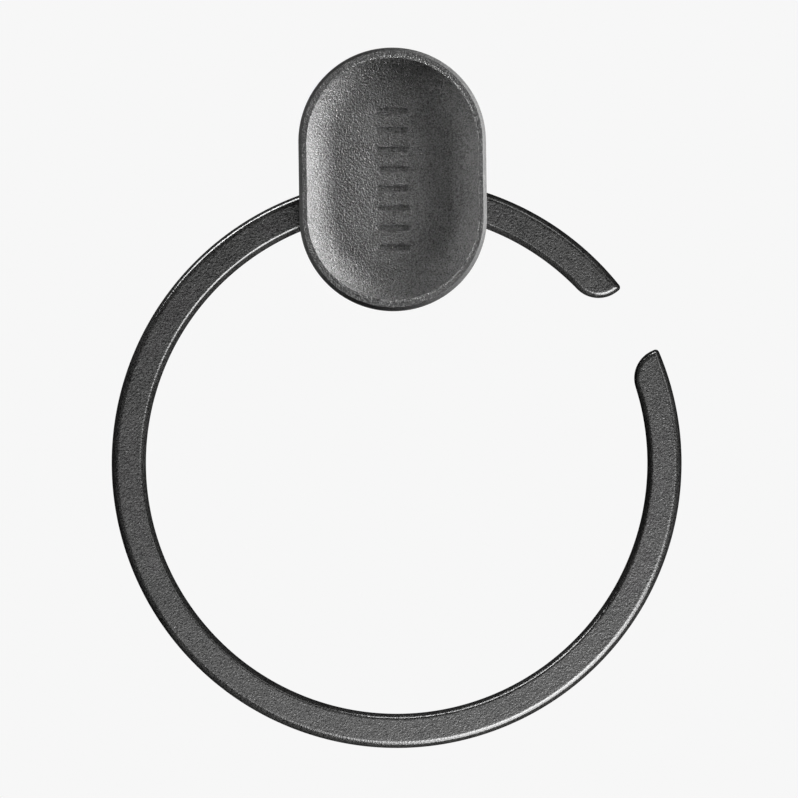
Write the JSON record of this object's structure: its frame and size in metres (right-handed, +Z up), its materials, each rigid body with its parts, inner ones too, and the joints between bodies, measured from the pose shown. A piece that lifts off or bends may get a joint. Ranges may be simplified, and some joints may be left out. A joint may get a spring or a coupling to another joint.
{
  "type": "split key ring",
  "caption": "Flat steel key hoop with one gap, turned through a dished pill-shaped housing whose thumb pad unlocks it.",
  "frame": {"origin": "centre of the hoop, halfway through its thickness", "axes": "+Z up from the hoop's centre through the middle of the housing, -Y out of the dished thumb pad, +X to the right seen from the pad's side; the hoop lies in the XZ plane"},
  "size_m": [0.038, 0.0084, 0.0467],
  "materials": {
    "ring_black": "satin black coating with a fine grain",
    "pad_black": "matte black, fine sand texture",
    "shell_black": "matte black, fine sand texture",
    "carrier_nylon": "matte moulded nylon",
    "chassis_nylon": "matte moulded nylon, glass filled",
    "liner_acetal": "natural acetal, slightly waxy",
    "plate_steel": "brushed sheet steel",
    "spring_steel": "drawn spring steel",
    "pin_steel": "ground steel",
    "screw_steel": "plated steel",
    "rivet_brass": "plain brass"
  },
  "bodies": {
    "housing": {"rear_shell": "shell_black", "guide_block": "chassis_nylon", "bearing_plate": "plate_steel", "inner_guide_shoe": "liner_acetal", "outer_guide_shoe": "liner_acetal", "latch_spring": "spring_steel", "latch_rivet_left": "rivet_brass", "latch_rivet_right": "rivet_brass", "pad_spring_left": "spring_steel", "pad_spring_right": "spring_steel", "pad_spring_lower": "spring_steel", "plate_screw_1": "screw_steel", "plate_screw_2": "screw_steel", "plate_screw_3": "screw_steel", "plate_screw_4": "screw_steel", "dowel_pin_1": "pin_steel", "dowel_pin_2": "pin_steel"},
    "ring": {"split_ring": "ring_black"},
    "pad": {"front_pad": "pad_black", "pad_carrier": "carrier_nylon", "release_pin": "pin_steel"}
  },
  "joints": [
    {"name": "ring_turn", "type": "hinge", "parent": "housing", "child": "ring", "pos_m": [0, 0, 0], "axis": [0, -1, 0], "range_deg": [-300, 60], "deforming": ["latch_spring"]},
    {"name": "pad_press", "type": "slide", "parent": "housing", "child": "pad", "axis": [0, 1, 0], "range_m": [0, 0.0005], "stiffness_N_per_m": 2400, "springref_m": -0.0004, "deforming": ["pad_spring_left", "pad_spring_right", "pad_spring_lower", "latch_spring"]}
  ]
}
